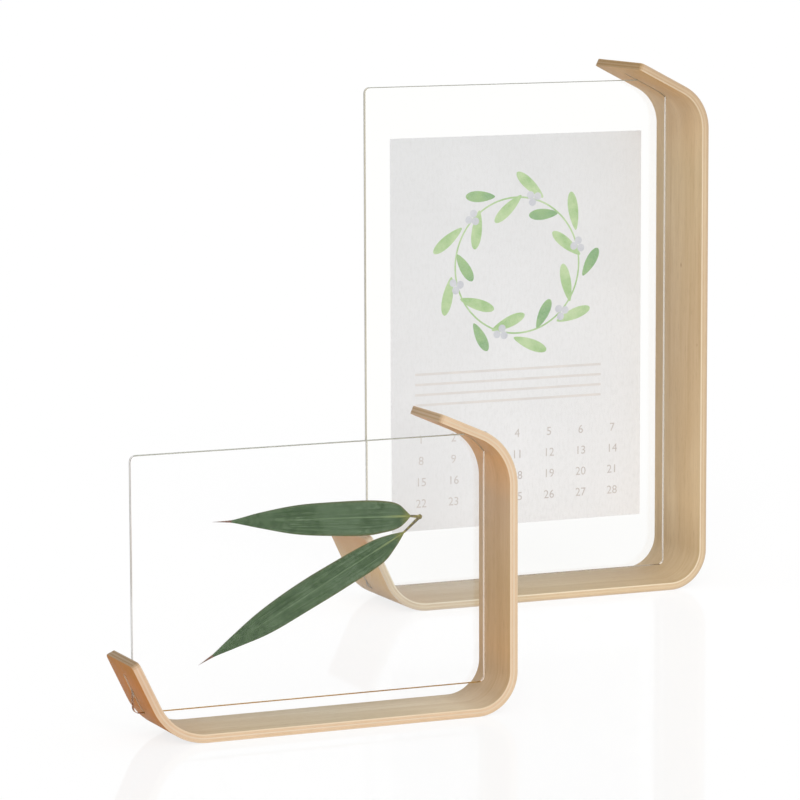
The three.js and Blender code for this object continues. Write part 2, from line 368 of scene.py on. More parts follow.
# Tones of the veneers' faces along each strip: a place on one of its pieces and the colour there.
# Besides the wood's own tone they hold painted light and shade: a greyer painted sheen on the
# bottom's top face, and painted light where the small frame's head bend lies in shade
FACE_TONES_AND_PAINTED_LIGHT = {
    "small": {
        "inner": {
            FOOT_ARM: {0.5: (206, 172, 134)},
            BOTTOM: {0.1: (215, 197, 167), 0.5: (217, 204, 178), 0.95: (231, 216, 190)},
            CORNER_BEND: {0.5: (199, 174, 142)},
            UPRIGHT: {0.1: (221, 183, 138), 0.5: (215, 183, 142), 0.9: (219, 188, 155)},
            HEAD_BEND: {0.4: (245, 193, 138)},
            HEAD_ARM: {0.2: (236, 184, 125), 0.9: (226, 177, 130)},
        },
        "outer": {
            FOOT_ARM: {0.1: (198, 135, 66), 0.5: (209, 135, 62)},
            FOOT_BEND: {0.3: (205, 141, 80), 0.9: (208, 160, 110)},
            CORNER_BEND: {0.5: (212, 176, 140)},
            HEAD_ARM: {0.9: (222, 192, 152)},
        },
    },
    "tall": {
        "inner": {
            FOOT_ARM: {0.5: (206, 176, 138)},
            BOTTOM: {0.1: (203, 184, 152), 0.6: (213, 196, 166)},
            CORNER_BEND: {0.5: (209, 185, 148)},
            UPRIGHT: {0.1: (235, 209, 170), 0.5: (222, 195, 158), 0.9: (226, 201, 162)},
            HEAD_BEND: {0.4: (240, 210, 170)},
            HEAD_ARM: {0.3: (238, 194, 139), 0.9: (229, 187, 131)},
        },
        "outer": {
            FOOT_ARM: {0.1: (203, 153, 94), 0.7: (222, 186, 130)},
            FOOT_BEND: {0.5: (208, 178, 138)},
            CORNER_BEND: {0.5: (208, 180, 144)},
            HEAD_ARM: {0.9: (218, 190, 150)},
        },
    },
}

# Sawn wood of each strip: the long edges of its veneers, and the ends of its foot and head arms
SAWN_EDGES = {
    "small": {
        "outer_ply": (228, 203, 172), "core_ply": (232, 211, 185), "inner_ply": (232, 210, 181),
        "cross_pale": (232, 203, 170), "cross_deep": (208, 175, 139),
    },
    "tall": {
        "outer_ply": (215, 194, 168), "core_ply": (229, 208, 176), "inner_ply": (240, 224, 196),
        "cross_pale": (226, 202, 168), "cross_deep": (203, 172, 132),
    },
}
SAWN_ENDS = {
    "small": ((173, 150, 121), (203, 178, 148)),
    "tall": ((178, 148, 109), (185, 156, 115)),
}
# Painted shade on the long edges: how they darken from one piece of the strip to the next
PAINTED_EDGE_SHADES = {
    "small": {
        FOOT_ARM: {0.6: (247, 240, 238)},
        FOOT_BEND: {0.8: (253, 252, 251)},
        BOTTOM: {0.3: (255, 255, 255)},
    },
    "tall": {
        BOTTOM: {0.2: (238, 243, 247), 0.5: (255, 255, 255), 0.9: (255, 255, 255)},
        UPRIGHT: {0.1: (246, 243, 241), 0.9: (246, 243, 241)},
        HEAD_ARM: {0.2: (236, 230, 227)},
    },
}


def toned(shader, blank, strip, tones):
    """The colour along a strip, from its tones, painted light and shade among them."""
    share = shader.math("DIVIDE", shader.parts(blank)[0], strip.length)
    return shader.ramp(share, *[
        (strip.share(piece, part), srgb(*colour))
        for piece, places in tones.items() for part, colour in places.items()
    ])


def sawn_ends(shader, blank, strip):
    """The colour of the arm ends, which show every veneer end on."""
    foot, head = SAWN_ENDS[strip.name]
    at_head = shader.math("GREATER_THAN", shader.parts(blank)[0], strip.length / 2)
    colour = shader.mix(at_head, srgb(*foot), srgb(*head))
    specks = shader.noise(blank, grain=(400.0, 2200.0, 2200.0))
    shaded = shader.times(colour, FIGURE_SHADE)
    return shader.stain(colour, shaded, specks, low=0.35, high=0.65, strength=0.6)


def long_grain_wood(name, strip, tones, edge_colour, gloss, knots=()):
    """Face and core veneers: the grain runs along the strip and follows its bends."""
    shader = Material(name)
    blank = shader.attribute("blank")
    long_edge, sawn_end, _ = shader.parts(shader.attribute("cut"))
    streaks, clouds, pores, flakes = shader.group(WOOD_FIGURE, Along_Grain=blank)
    # The tones carry painted light and shade along the strip as well as the wood's own tone
    tone = toned(shader, blank, strip, tones)
    shaded = shader.times(tone, FIGURE_SHADE)
    colour = shader.stain(tone, shaded, streaks, low=0.36, high=0.66, strength=0.8)
    colour = shader.stain(colour, shaded, clouds, low=0.40, high=0.64, strength=0.7)
    colour = shader.mix(shader.math("MULTIPLY", pores, PORE_STRENGTH), colour, PORE)
    for centre, radius in knots:
        knot, = shader.group(PIN_KNOT, Along_Grain=blank, Centre=centre, Radius=radius)
        colour = shader.mix(shader.math("MULTIPLY", knot, KNOT_STRENGTH), colour, KNOT)
    edge_shaded = shader.times(edge_colour, FIGURE_SHADE)
    edge = shader.stain(edge_colour, edge_shaded, streaks, low=0.35, high=0.70, strength=0.5)
    # Painted shade along the strip on the long edges
    edge = shader.times(edge, toned(shader, blank, strip, PAINTED_EDGE_SHADES[strip.name]))
    colour = shader.mix(long_edge, colour, edge)
    height = shader.math("SUBTRACT", streaks, shader.math("MULTIPLY", pores, PORE_DEPTH))
    return shader.finished(
        Base_Color=shader.mix(sawn_end, colour, sawn_ends(shader, blank, strip)),
        Roughness=shader.between(flakes, 0.44, 0.60),
        Normal=shader.bump(height, strength=0.2, distance=0.05 * MM),
        Specular_IOR_Level=gloss,
        Coat_Weight=COAT_SHARE * gloss,
        Coat_Roughness=0.35,
    )


def cross_grain_wood(name, strip, pale, deep):
    """Cross veneers: the grain runs across the strip, so the edges show its end grain."""
    shader = Material(name)
    blank = shader.attribute("blank")
    _, sawn_end, _ = shader.parts(shader.attribute("cut"))
    speckle = shader.noise(blank, grain=(2400.0, 60.0, 2400.0), detail=3.0, roughness=0.7)
    bands = shader.noise(blank, grain=(140.0, 8.0, 400.0), detail=3.0, roughness=0.6)
    colour = shader.mix(shader.between(bands, 0.0, 0.4), pale, deep)
    colour = shader.stain(colour, deep, speckle, low=0.35, high=0.70, strength=0.45)
    # Painted shade along the strip, as on the long edges
    colour = shader.times(colour, toned(shader, blank, strip, PAINTED_EDGE_SHADES[strip.name]))
    ends = shader.times(sawn_ends(shader, blank, strip), FIGURE_SHADE)
    return shader.finished(
        Base_Color=shader.mix(sawn_end, colour, ends),
        Roughness=shader.between(speckle, 0.6, 0.8),
        Normal=shader.bump(speckle, strength=0.3, distance=0.04 * MM),
        Specular_IOR_Level=0.25,
    )


# The strips

class Strip:
    """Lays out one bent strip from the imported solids, and bends a flat blank into it.

    A place on the blank is (along, across, depth): metres along the outer face from the end of
    the foot arm, across from the front edge, and depth inward from the outer face.
    """

    def __init__(self, sizes):
        self.sizes = sizes
        self.name = sizes["name"]
        outer_low, outer_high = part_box(self.name + "_outer_ply")
        front_low, front_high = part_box(self.name + "_front_sheet")
        self.front = outer_low.y
        self.width = outer_high.y - outer_low.y
        self.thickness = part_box(self.name + "_inner_ply")[0].z + VENEER
        self.panel_low = front_low
        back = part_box(self.name + "_back_sheet")[1].y
        self.panel_high = Vector((front_high.x, back, front_high.z))
        foot_corner = Vector((front_low.x + sizes["foot_reach"], 0.0))
        side_corner = Vector((outer_high.x, 0.0))
        head_corner = Vector((outer_high.x, front_high.z - sizes["head_reach"]))
        headings = [-sizes["foot_bend"], 0.0, 90.0, 90.0 + sizes["head_bend"]]
        corners = [foot_corner, side_corner, head_corner]
        radii = [sizes["foot_radius"], sizes["corner_radius"], sizes["head_radius"]]
        self.pieces = []
        self.length = 0.0
        point = foot_corner - direction(headings[0]) * sizes["foot_arm"]
        for corner, radius, heading, after in zip(corners, radii, headings, headings[1:]):
            turn = math.radians(after - heading)
            tangent = radius * math.tan(turn / 2)
            stop = corner - direction(heading) * tangent
            self.add((stop - point).length, point, heading)
            self.add(turn * radius, stop + direction(heading + 90.0) * radius, heading, radius)
            point = corner + direction(after) * tangent
        head_end = head_corner + direction(headings[-1]) * sizes["head_arm"]
        self.add((head_end - point).length, point, headings[-1])

    def add(self, length, anchor, heading, radius=None):
        """Adds a straight piece from its start, or a bent one from its centre and radius."""
        self.pieces.append(StripPiece(self.length, length, anchor, heading, radius))
        self.length += length

    def share(self, piece, part):
        """How far along the whole blank a part of one piece lies, from 0 to 1."""
        start, length, *_ = self.pieces[piece]
        return (start + length * part) / self.length

    def place(self, along, depth):
        """Where a place on the blank comes to lie, in X and Z."""
        reached = (piece for piece in self.pieces if along <= piece.start + piece.length)
        start, _, anchor, heading, radius = next(reached, self.pieces[HEAD_ARM])
        run = along - start
        if radius is None:
            return anchor + direction(heading) * run + direction(heading + 90.0) * depth
        angle = heading - 90.0 + math.degrees(run / radius)
        return anchor + direction(angle) * (radius - depth)

    def along_where(self, test, low, high, depth):
        """The place along the blank between low and high where test turns from True to False."""
        for _ in range(HALVINGS):
            middle = (low + high) / 2
            if test(self.place(middle, depth)):
                low = middle
            else:
                high = middle
        return (low + high) / 2

    def foot_slot(self, depth):
        """Where the foot arm's slot starts and ends along the blank, at one depth."""
        seat = self.panel_low.z - SLOT_END_CLEARANCE
        left = self.panel_low.x - SLOT_END_CLEARANCE
        bottom = self.pieces[BOTTOM].start
        start = self.along_where(lambda p: p.x < left, 0.0, bottom, self.thickness)
        end = self.along_where(lambda p: p.y > seat, 0.0, bottom, depth)
        return start, end

    def head_slot(self, depth):
        """Where the head arm's slot starts and ends along the blank, at one depth."""
        right = self.panel_high.x + SLOT_END_CLEARANCE
        bend = self.pieces[HEAD_BEND].start
        start = self.along_where(lambda p: p.x > right, bend, self.length, depth)
        return start, self.length - HEAD_ARM_LAND

    def stations(self):
        """Places along the blank that the bends need."""
        places = {0.0, self.length}
        for start, length, _, _, radius in self.pieces:
            if radius is not None:
                steps = round(math.degrees(length / radius) / BEND_STEP)
                places.update(start + length * step / steps for step in range(steps + 1))
        return sorted(places)


def veneer(strip, ply, material):
    """One veneer: cut flat with its two slots, its edges eased, then bent."""
    node = f"{strip.name}_{ply}"
    outer_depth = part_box(node)[0].z
    inner_depth = outer_depth + VENEER
    slot_front = strip.panel_low.y - SLOT_SIDE_CLEARANCE - strip.front
    slot_back = strip.panel_high.y + SLOT_SIDE_CLEARANCE - strip.front
    outer_cuts, inner_cuts = (
        [*strip.foot_slot(depth), *strip.head_slot(depth)] for depth in (outer_depth, inner_depth)
    )
    rows = [s for s in strip.stations() if all(abs(s - cut) > NEAR for cut in outer_cuts)]
    rows = sorted(rows + outer_cuts)
    columns = [0.0, slot_front, slot_back, strip.width]

    bm = bmesh.new()
    bmesh.ops.create_grid(bm, x_segments=len(rows) - 1, y_segments=len(columns) - 1, size=0.5)
    row_of = bm.verts.layers.int.new("row")
    for vert in bm.verts:
        vert[row_of] = round((vert.co.x + 0.5) * (len(rows) - 1))
        column = round((vert.co.y + 0.5) * (len(columns) - 1))
        vert.co = Vector((rows[vert[row_of]], columns[column], outer_depth))
    cut_out = []
    for face in bm.faces:
        middle = face.calc_center_median()
        in_foot_slot = outer_cuts[0] < middle.x < outer_cuts[1]
        in_head_slot = outer_cuts[2] < middle.x < outer_cuts[3]
        if (in_foot_slot or in_head_slot) and slot_front < middle.y < slot_back:
            cut_out.append(face)
    bmesh.ops.delete(bm, geom=cut_out, context="FACES")
    inner_along = {rows.index(outer): inner for outer, inner in zip(outer_cuts, inner_cuts)}
    for vert in extruded(bm, bm.faces[:]):
        vert.co.z = inner_depth
        vert.co.x = inner_along.get(vert[row_of], vert.co.x)
    outward(bm)

    corners = [
        edge for edge in bm.edges
        if abs(edge.verts[0].co.z - edge.verts[1].co.z) > VENEER / 2
        and all(min(v.co.x, strip.length - v.co.x) < NEAR for v in edge.verts)
        and all(min(v.co.y, strip.width - v.co.y) < NEAR for v in edge.verts)
    ]
    bevel(bm, corners, strip.sizes["end_corner"], segments=4)
    eased_depth = {"outer_ply": outer_depth, "inner_ply": inner_depth}.get(ply)
    if eased_depth is not None:
        rim = [
            edge for edge in bm.edges
            if all(abs(v.co.z - eased_depth) < SAME_DEPTH for v in edge.verts)
            and any(abs(face.normal.z) < ON_EDGE for face in edge.link_faces)
        ]
        bevel(bm, rim, EASED_EDGE, segments=2)

    # How far each face is a sawn long edge, and how far a sawn end
    cut = bm.faces.layers.float_vector.new("cut")
    for face in bm.faces:
        face.normal_update()
        face[cut] = (face.normal.y ** 2, face.normal.x ** 2, 0.0)
    blank = bm.verts.layers.float_vector.new("blank")
    for vert in bm.verts:
        along, across, depth = vert.co
        vert[blank] = vert.co.copy()
        bent = strip.place(along, depth)
        vert.co = Vector((bent.x, strip.front + across, bent.y))
    outward(bm)
    made = mesh_object(f"bent_{node}", bm, material)
    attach(made, strip.sizes["frame_body"])
    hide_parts(node)


# Acrylic

POLISHED_EDGE = 0.3 * MM
PANEL_GLARE = (0.68, 0.68, 0.68, 1.0)
PANEL_SHADOW = (0.965, 0.962, 0.956, 1.0)
# How near to Y a broad face's normal lies, and the slope from which an edge is a left or right one
BROAD_FACE = 0.999
SIDE_SLOPE = 0.4
SAME_PLACE = 1e-7

# Tint of each panel's clear faces and of its four edges, which darken what is seen through them.
# The edge tints are painted reflection and shade of the wood that the edges show
SHEET_TINTS_AND_EDGE_REFLECTIONS = {
    "small": {
        "face": (1.0, 1.0, 1.0), "left": (0.96, 0.92, 0.88), "right": (0.74, 0.60, 0.48),
        "top": (0.25, 0.25, 0.18), "bottom": (0.40, 0.20, 0.04),
    },
    "tall": {
        "face": (1.0, 1.0, 0.994), "left": (0.64, 0.57, 0.40), "right": (0.80, 0.74, 0.66),
        "top": (0.12, 0.12, 0.08), "bottom": (0.40, 0.34, 0.27),
    },
}


def acrylic_material():
    """Clear acrylic, which shadow and diffuse rays pass straight through."""
    shader = Material("clear_acrylic")
    rays = shader.node("ShaderNodeLightPath").outputs
    straight = shader.math("MAXIMUM", rays["Is Shadow Ray"], rays["Is Diffuse Ray"])
    clear = shader.fill(shader.node("ShaderNodeBsdfTransparent"), Color=PANEL_SHADOW)
    passing = shader.mixed_shaders(straight, shader.principled, clear)
    shader.fill(shader.output, Surface=passing.outputs[0])
    # The sheet edges carry painted reflection and shade of the wood in their base colour
    tint = shader.node("ShaderNodeAttribute", attribute_name="tint").outputs
    return shader.finished(
        Base_Color=tint["Color"],
        Roughness=shader.level(tint["Alpha"], 0.0, 1.0, low_out=0.0, high_out=0.12),
        IOR=1.49,
        Specular_Tint=PANEL_GLARE,
        Transmission_Weight=1.0,
    )


def sheet_side(normal):
    """Which face or edge of a sheet looks along a normal."""
    if abs(normal.y) > BROAD_FACE:
        return "face"
    if abs(normal.x) > SIDE_SLOPE * abs(normal.z):
        return "left" if normal.x < 0 else "right"
    return "bottom" if normal.z < 0 else "top"


def sheet_piece(strip, side, material):
    """One acrylic sheet with round corners and lightly polished edges."""
    node = f"{strip.name}_{side}_sheet"
    low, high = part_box(node)
    bm = bmesh.new()
    bmesh.ops.create_grid(bm, x_segments=1, y_segments=1, size=0.5)
    for vert in bm.verts:
        vert.co = Vector((
            low.x if vert.co.x < 0 else high.x,
            low.y,
            low.z if vert.co.y < 0 else high.z,
        ))
    bevel(bm, bm.verts[:], PANEL_CORNER_RADIUS, segments=8, affect="VERTICES")
    raised = extruded(bm, bm.faces[:])
    bmesh.ops.translate(bm, verts=raised, vec=(0, high.y - low.y, 0))
    outward(bm)
    rim = [
        edge for edge in bm.edges
        if abs(edge.verts[0].co.y - edge.verts[1].co.y) < SAME_PLACE
        and any(abs(face.normal.y) < ON_EDGE for face in edge.link_faces)
    ]
    bevel(bm, rim, POLISHED_EDGE, segments=3)
    bm.normal_update()
    # Each edge face gets its painted reflection and shade of the wood as a colour
    tint = bm.faces.layers.float_color.new("tint")
    for face in bm.faces:
        where = sheet_side(face.normal)
        face[tint] = (*SHEET_TINTS_AND_EDGE_REFLECTIONS[strip.name][where], 0.0 if where == "face" else 1.0)
    piece = mesh_object(f"clear_{node}", bm, material)
    broad_edges = {
        key for face in piece.data.polygons if sheet_side(face.normal) == "face"
        for key in face.edge_keys
    }
    for edge in piece.data.edges:
        edge.use_edge_sharp = edge.use_edge_sharp or edge.key in broad_edges
    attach(piece, strip.sizes["panel_body"])
    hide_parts(node)


# Leaves

KNOT_RADIUS = 1.25 * MM
KNOT_INSET = 32.9 * MM
KNOT_RAISE = 80.6 * MM
KNOT_LOBES = 5.0
KNOT_RIPPLE = 0.06
KNOT_SQUEEZE = 0.96
STALK_RADIUS = 0.78 * MM
STALK_TAPER = 0.72
STALK_DEPTH = 0.9
LEAF_STALK_GAP = 0.3 * MM
LEAF_THICKNESS = 0.24 * MM
LEAF_RIM_THINNING = 0.75
LEAF_TIP_HALF_WIDTH = 0.02
LEAF_ROWS = 72
LEAF_COLUMNS = 16

LEAF_DEEP = srgb(34, 66, 20)
LEAF_GREEN = srgb(66, 94, 50)
LEAF_PALE = srgb(96, 120, 88)
LEAF_PATCH = srgb(88, 112, 80)
LEAF_RIM = srgb(104, 98, 48)
LEAF_BASE = srgb(140, 138, 58)
LEAF_TIP = srgb(124, 90, 74)
RIB = srgb(120, 146, 104)
RIB_BASE = srgb(158, 164, 84)
RIB_WIDTH = 0.035
RIB_WIDENING = 0.10
TIP_RAGGEDNESS = 4.0 * MM
MOTTLE_HEIGHT = 0.2

# Each leaf: its stalk, the angle of its blade in degrees, and in millimetres along the blade its
# half widths above and below the midrib and the length that is still green
UPPER_LEAF = dict(
    node="upper_leaf",
    stalk_length=3.2 * MM,
    stalk_angle=172.0,
    blade_angle=177.7,
    stations=[
        (0.0, 0.35, 0.35), (2.4, 2.6, 3.0), (5.1, 5.0, 5.1), (8.0, 6.4, 6.3), (12.0, 7.2, 7.2),
        (21.0, 7.9, 8.5), (39.0, 7.6, 8.2), (57.0, 6.6, 6.9), (75.0, 3.7, 3.5), (87.6, 0.8, 0.8),
        (91.0, 0.42, 0.42), (98.2, 0.0, 0.0),
    ],
    green_length=88.3,
)
LOWER_LEAF = dict(
    node="lower_leaf",
    stalk_length=8.9 * MM,
    stalk_angle=220.0,
    blade_angle=207.9,
    stations=[
        (0.0, 0.35, 0.35), (6.0, 2.6, 3.6), (15.0, 4.9, 7.0), (35.0, 6.4, 7.4), (57.0, 7.0, 6.9),
        (79.0, 5.8, 5.9), (96.0, 3.0, 2.9), (106.5, 0.8, 0.85), (110.5, 0.42, 0.42),
        (115.6, 0.0, 0.0),
    ],
    green_length=107.5,
)


def smooth_through(stations, column, along):
    """A smooth curve through one column of the stations, at a distance along the blade."""
    last = len(stations) - 1

    def slope(index):
        before, after = stations[max(index - 1, 0)], stations[min(index + 1, last)]
        return (after[column] - before[column]) / (after[0] - before[0])

    index = 0
    while index < last - 1 and stations[index + 1][0] < along:
        index += 1
    start, end = stations[index], stations[index + 1]
    run = end[0] - start[0]
    t = (along - start[0]) / run
    return (
        start[column] * (2 * t ** 3 - 3 * t ** 2 + 1)
        + slope(index) * run * (t ** 3 - 2 * t ** 2 + t)
        + end[column] * (3 * t ** 2 - 2 * t ** 3)
        + slope(index + 1) * run * (t ** 3 - t ** 2)
    )


def leaf_material():
    """Dried green blade: parallel veins, a pale midrib, yellow at its base and a dry brown tip."""
    shader = Material("pressed_leaf")
    blade = shader.attribute("blade")
    along, across, past_green = shader.parts(blade)
    place = shader.object_place()
    veins = shader.noise(blade, grain=(2.5, 26.0, 0.0), roughness=0.6)
    mottle = shader.noise(place, grain=420.0, detail=4.0, roughness=0.65)
    patch = shader.noise(place, grain=70.0)
    green = shader.ramp(veins, (0.40, LEAF_DEEP), (0.50, LEAF_GREEN), (0.60, LEAF_PALE))
    green = shader.stain(green, LEAF_DEEP, mottle, low=0.46, high=0.60, strength=0.7)
    green = shader.stain(green, LEAF_PATCH, patch, low=0.44, high=0.62, strength=0.4)
    distance = shader.math("ABSOLUTE", across)
    rim_strength = shader.level(along, low=0.5, high=0.0, low_out=0.25, high_out=0.9)
    at_rim = shader.math("MULTIPLY", shader.level(distance, low=0.86, high=0.98), rim_strength)
    green = shader.mix(at_rim, green, LEAF_RIM)
    near_base = shader.level(along, low=0.16, high=0.0)
    rib_width = shader.math("ADD", RIB_WIDTH, shader.math("MULTIPLY", near_base, RIB_WIDENING))
    rib_mask = shader.level(shader.math("DIVIDE", distance, rib_width), low=1.3, high=0.6)
    rib_fade = shader.level(along, low=0.0, high=0.85, low_out=0.72, high_out=0.0)
    rib_colour = shader.mix(near_base, RIB, RIB_BASE)
    green = shader.mix(shader.math("MULTIPLY", rib_mask, rib_fade), green, rib_colour)
    green = shader.stain(green, LEAF_BASE, along, low=0.05, high=0.0, strength=0.7)
    jitter = shader.math("MULTIPLY", shader.math("SUBTRACT", mottle, NOISE_MIDDLE), TIP_RAGGEDNESS)
    tip = shader.level(shader.math("ADD", past_green, jitter), low=-0.6 * MM, high=0.8 * MM)
    height = shader.math("ADD", veins, shader.math("MULTIPLY", mottle, MOTTLE_HEIGHT))
    return shader.finished(
        Base_Color=shader.mix(tip, green, LEAF_TIP),
        Roughness=shader.between(mottle, 0.60, 0.75),
        Normal=shader.bump(height, strength=0.15, distance=0.05 * MM),
        Specular_IOR_Level=0.03,
    )


def knot_centre(strip):
    """Where the stalks meet, in X and Z."""
    return Vector((strip.panel_high.x - KNOT_INSET, strip.panel_low.z + KNOT_RAISE))


def leaf_piece(strip, leaf, material):
    """A pressed blade, thickest along its midrib and closed all round."""
    stalk = KNOT_RADIUS + leaf["stalk_length"] + LEAF_STALK_GAP
    base = knot_centre(strip) + direction(leaf["stalk_angle"]) * stalk
    ahead = direction(leaf["blade_angle"])
    upward = direction(leaf["blade_angle"] - 90.0)
    low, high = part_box(leaf["node"])
    middle_y = (low.y + high.y) / 2
    length = leaf["stations"][-1][0]

    bm = bmesh.new()
    bmesh.ops.create_grid(bm, x_segments=LEAF_ROWS, y_segments=LEAF_COLUMNS, size=0.5)
    blade = bm.verts.layers.float_vector.new("blade")
    for vert in bm.verts:
        share = vert.co.x + 0.5
        side = vert.co.y * 2.0
        along = share * length
        column = 1 if side > 0 else 2
        half = max(smooth_through(leaf["stations"], column, along), LEAF_TIP_HALF_WIDTH)
        spot = base + ahead * along * MM + upward * side * half * MM
        vert[blade] = (share, side, (along - leaf["green_length"]) * MM)
        vert.co = Vector((spot.x, middle_y, spot.y))
    outward(bm)
    if sum(face.normal.y for face in bm.faces) > 0:
        bmesh.ops.reverse_faces(bm, faces=bm.faces[:])
    back = set(extruded(bm, bm.faces[:]))
    for vert in bm.verts:
        thin = 1.0 - LEAF_RIM_THINNING * vert[blade][1] ** 2
        half_thickness = LEAF_THICKNESS / 2 * thin
        vert.co.y += half_thickness if vert in back else -half_thickness
    outward(bm)
    piece = mesh_object(f"pressed_{leaf['node']}", bm, material)
    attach(piece, strip.sizes["panel_body"])
    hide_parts(leaf["node"])


def twig_material():
    """Dry twig: brown with yellow-green flecks."""
    shader = Material("dried_twig")
    fibres = shader.noise(shader.object_place(), grain=900.0, detail=3.0, roughness=0.6)
    colour = shader.ramp(
        fibres, (0.34, srgb(58, 48, 18)), (0.50, srgb(96, 84, 34)), (0.68, srgb(160, 152, 70)),
    )
    return shader.finished(
        Base_Color=colour,
        Roughness=shader.between(fibres, 0.5, 0.75),
        Normal=shader.bump(fibres, strength=0.4, distance=0.08 * MM),
    )


def twig_piece(strip, material):
    """The flattened knot and the two stalks that run from it to the leaves."""
    low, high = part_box("leaf_twig")
    middle_y = (low.y + high.y) / 2
    half_depth = (high.y - low.y) / 2
    knot = knot_centre(strip)
    bm = bmesh.new()
    bmesh.ops.create_uvsphere(bm, u_segments=24, v_segments=14, radius=KNOT_RADIUS)
    for vert in bm.verts:
        ripple = 1.0 + KNOT_RIPPLE * math.sin(KNOT_LOBES * math.atan2(vert.co.z, vert.co.x))
        vert.co.x *= ripple
        vert.co.z *= ripple
    squeeze = (KNOT_SQUEEZE, half_depth / KNOT_RADIUS, KNOT_SQUEEZE)
    bmesh.ops.scale(bm, vec=squeeze, verts=bm.verts[:])
    for leaf in (UPPER_LEAF, LOWER_LEAF):
        ahead = direction(leaf["stalk_angle"])
        length = KNOT_RADIUS + leaf["stalk_length"] + LEAF_STALK_GAP
        flatten = Matrix.Diagonal((1.0, half_depth * STALK_DEPTH / STALK_RADIUS, 1.0, 1.0))
        turn = Vector((0.0, 0.0, 1.0)).rotation_difference(Vector((ahead.x, 0.0, ahead.y)))
        shift = Matrix.Translation((0.0, 0.0, length / 2))
        bmesh.ops.create_cone(
            bm, cap_ends=True, segments=16, radius1=STALK_RADIUS,
            radius2=STALK_RADIUS * STALK_TAPER, depth=length,
            matrix=flatten @ turn.to_matrix().to_4x4() @ shift,
        )
    bmesh.ops.translate(bm, vec=(knot.x, middle_y, knot.y), verts=bm.verts[:])
    outward(bm)
    piece = mesh_object("dried_twig", bm, material)
    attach(piece, strip.sizes["panel_body"])
    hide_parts("leaf_twig")


# Print

PAPER_THICKNESS = 0.2 * MM
INK_LAYER = 0.005 * MM
INK_SINK = 0.004 * MM

# The generic printed design, in millimetres from the lower left corner of the paper: a wreath
# of oval leaves with round berries, ruled lines, and a block of plain numbers
WREATH_CENTRE = Vector((74.0, 140.0))
WREATH_RADIUS = 37.0
WREATH_STEM = 0.9
WREATH_LEAVES = 18
LEAF_LENGTH = 21.0
LEAF_WIDTH = 6.6
LEAF_PINCH = 0.45
SHORT_LEAF = 0.82
OUTER_LEAF = {"offset": 6.5, "tilt": -32.0}
INNER_LEAF = {"offset": -6.0, "tilt": 32.0}
BERRY_CLUSTERS = 6
BERRY_RADIUS = 2.1
# Each berry of a cluster: degrees along the wreath, and how far it lies outside it
BERRIES = ((-3.2, 1.6), (3.2, 1.2), (0.0, -2.2))
NUMBER_SIZE = 6.4
NUMBER_LAYERS = 2
NUMBER_COLUMNS = 7
NUMBER_ROWS = 4
NUMBER_START = (17.0, 47.0)
NUMBER_PITCH = (19.0, 11.5)
RULE_ROWS = (84.0, 78.5, 73.0, 67.5)
RULE_SPAN = (14.0, 124.0)
RULE_HEIGHT = 1.3

# The ink of each printed piece, with its pale and its deep tone
INKS = {
    "printed_pale_leaves": ("pale_green_ink", (190, 214, 164), (160, 196, 134)),
    "printed_deep_leaves": ("deep_green_ink", (158, 192, 134), (132, 174, 122)),
    "printed_berries": ("berry_ink", (212, 214, 220), (198, 200, 208)),
    "printed_numbers": ("faint_grey_ink", (204, 196, 192), (196, 188, 186)),
    "printed_rules": ("rule_ink", (226, 221, 218), (220, 216, 214)),
}


def paper_material():
    """Off-white uncoated paper with faint fibres."""
    shader = Material("uncoated_paper")
    place = shader.object_place()
    fibres = shader.noise(place, grain=(700.0, 700.0, 260.0), detail=4.0, roughness=0.7)
    clouds = shader.noise(place, grain=24.0)
    across, _, upward = shader.parts(place)
    low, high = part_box("tall_print")
    # The sheet is darker towards the top and towards the lower left
    downward = shader.level(upward, high.z, low.z)
    leftward = shader.level(across, (low.x + high.x) / 2, low.x)
    sheet = shader.mix(downward, srgb(229, 230, 232), srgb(242, 242, 244))
    sheet = shader.mix(shader.math("MULTIPLY", downward, leftward), sheet, srgb(229, 229, 231))
    clouded = shader.times(sheet, srgb(251, 251, 251))
    colour = shader.mix(shader.between(clouds, 0.0, 1.0), sheet, clouded)
    colour = shader.stain(colour, srgb(212, 212, 212), fibres, low=0.45, high=0.75, strength=0.35)
    return shader.finished(
        Base_Color=colour,
        Roughness=shader.between(fibres, 0.78, 0.92),
        Normal=shader.bump(fibres, strength=0.2, distance=0.02 * MM),
        Specular_IOR_Level=0.2,
    )


def ink_material(name, pale, deep):
    """Watercolour-like ink whose strength wanders over each printed shape."""
    shader = Material(name)
    place = shader.object_place()
    wash = shader.noise(place, grain=90.0, detail=3.0, roughness=0.6)
    grain = shader.noise(place, grain=1500.0)
    colour = shader.mix(shader.level(wash, low=0.38, high=0.62), pale, deep)
    colour = shader.stain(colour, srgb(228, 228, 226), grain, low=0.4, high=0.8, strength=0.2)
    return shader.finished(
        Base_Color=colour,
        Roughness=shader.between(grain, 0.75, 0.9),
        Specular_IOR_Level=0.2,
    )


class Paper:
    """Places flat shapes, drawn in millimetres on the paper, as thin films of ink on its face."""

    def __init__(self):
        self.low, self.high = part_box("tall_print")
        self.face = self.high.y - PAPER_THICKNESS

    def lay(self, verts, centre, angle=0.0):
        """Turns a shape drawn about the origin in X and Y, and lays it upright on the paper."""
        turn = Matrix.Rotation(math.radians(angle), 3, "Z")
        for vert in verts:
            across, upward, height = turn @ vert.co
            drawn = Vector((across + centre[0], 0.0, upward + centre[1])) * MM
            vert.co = Vector((self.low.x, self.face - height, self.low.z)) + drawn

    def film(self, bm, verts, layers, centre, angle=0.0):
        """Gives flat faces the thickness of so many layers of ink, and lays them on the paper."""
        faces = list({face for vert in verts for face in vert.link_faces})
        raised = extruded(bm, faces)
        for vert in verts:
            vert.co.z = -INK_SINK
        for vert in raised:
            vert.co.z = INK_LAYER * layers
        self.lay(verts + raised, centre, angle)


